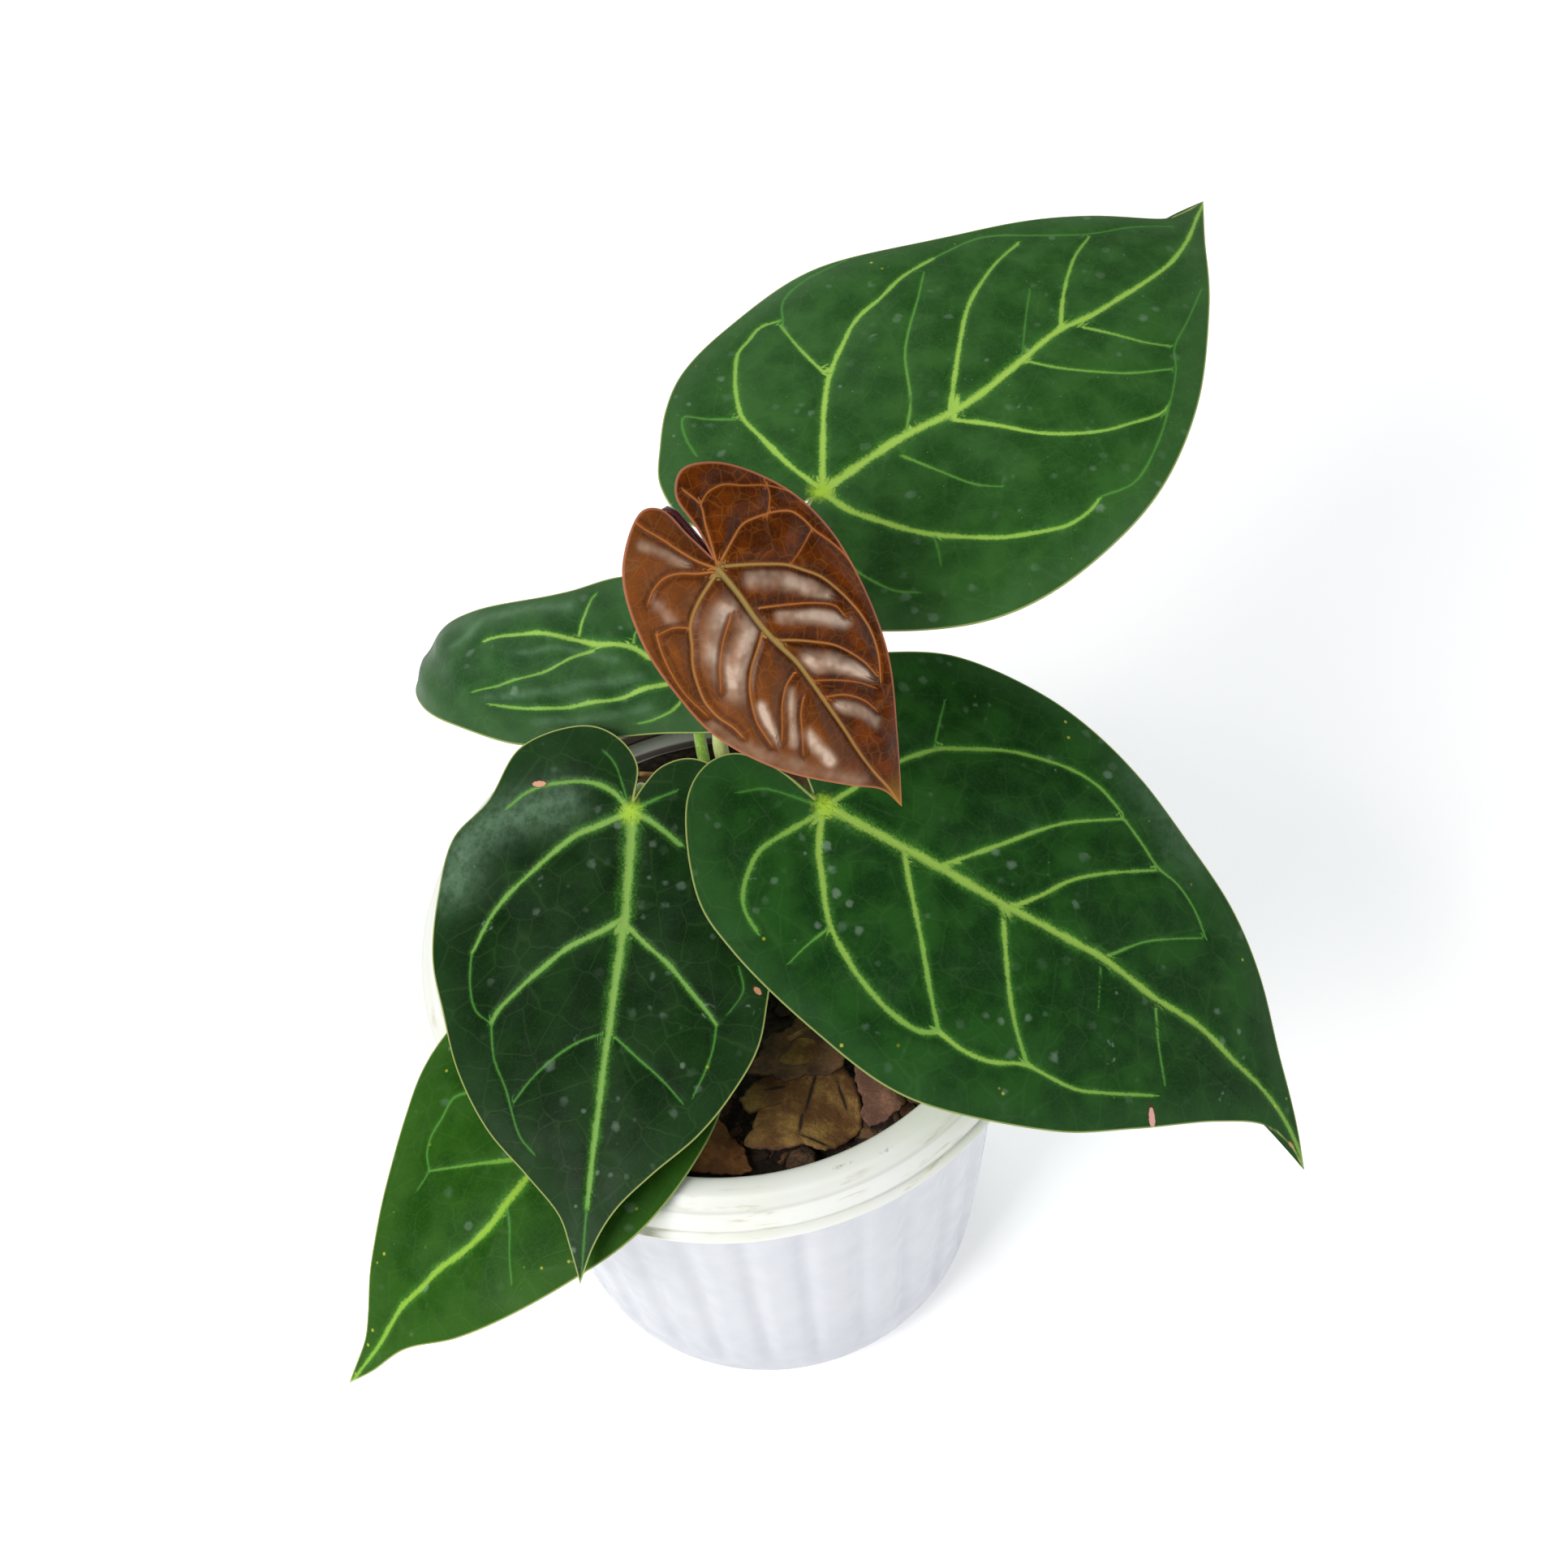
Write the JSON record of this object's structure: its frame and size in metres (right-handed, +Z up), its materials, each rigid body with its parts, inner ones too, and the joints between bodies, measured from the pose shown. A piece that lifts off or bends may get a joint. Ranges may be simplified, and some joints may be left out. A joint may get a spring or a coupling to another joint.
{
  "type": "potted anthurium hybrid",
  "caption": "Potted anthurium hybrid with green pale-veined heart-shaped leaves and a young copper leaf, in a white fluted nursery pot.",
  "frame": {"origin": "middle of the bounding box, on the surface that the pot's feet stand on", "axes": "+Z up along the pot's axis; -Y is the side from which the front leaves hang over the pot's rim; +X to the right from there"},
  "size_m": [0.2978, 0.2936, 0.3467],
  "materials": {
    "pot_plastic": "smooth moulded, slightly scuffed",
    "potting_mix": "coarse damp bark and fibre",
    "stem_green": "ringed fleshy stem",
    "root_tan": "dull",
    "blade_green": "velvety satin with pale veins",
    "blade_copper": "glossy, quilted",
    "petiole_green": "smooth fleshy",
    "petiole_red": "smooth fleshy, glossy",
    "dry_leaf": "dry, matt",
    "bark": "rough",
    "twig": "dry"
  },
  "bodies": {
    "root": {"pot": "pot_plastic", "potting_mix": "potting_mix", "stem": "stem_green", "root_left": "root_tan", "root_front": "root_tan", "root_right": "root_tan", "root_back": "root_tan", "blade_back_right": "blade_green", "petiole_back_right": "petiole_green", "blade_young_copper": "blade_copper", "petiole_young_copper": "petiole_red", "blade_back_left": "blade_green", "petiole_back_left": "petiole_green", "blade_front_right": "blade_green", "petiole_front_right": "petiole_green", "blade_front_left": "blade_green", "petiole_front_left": "petiole_green", "blade_low_left": "blade_green", "petiole_low_left": "petiole_green", "dry_leaf_big": "dry_leaf", "dry_leaf_left": "dry_leaf", "dry_leaf_pink": "dry_leaf", "dry_leaf_under": "dry_leaf", "dry_leaf_back": "dry_leaf", "dry_leaf_right": "dry_leaf", "dry_leaf_west": "dry_leaf", "dry_leaf_small": "dry_leaf", "bark_1": "bark", "bark_2": "bark", "bark_3": "bark", "bark_4": "bark", "bark_5": "bark", "bark_6": "bark", "bark_7": "bark", "twig_1": "twig", "twig_2": "twig", "twig_3": "twig"}
  },
  "joints": []
}
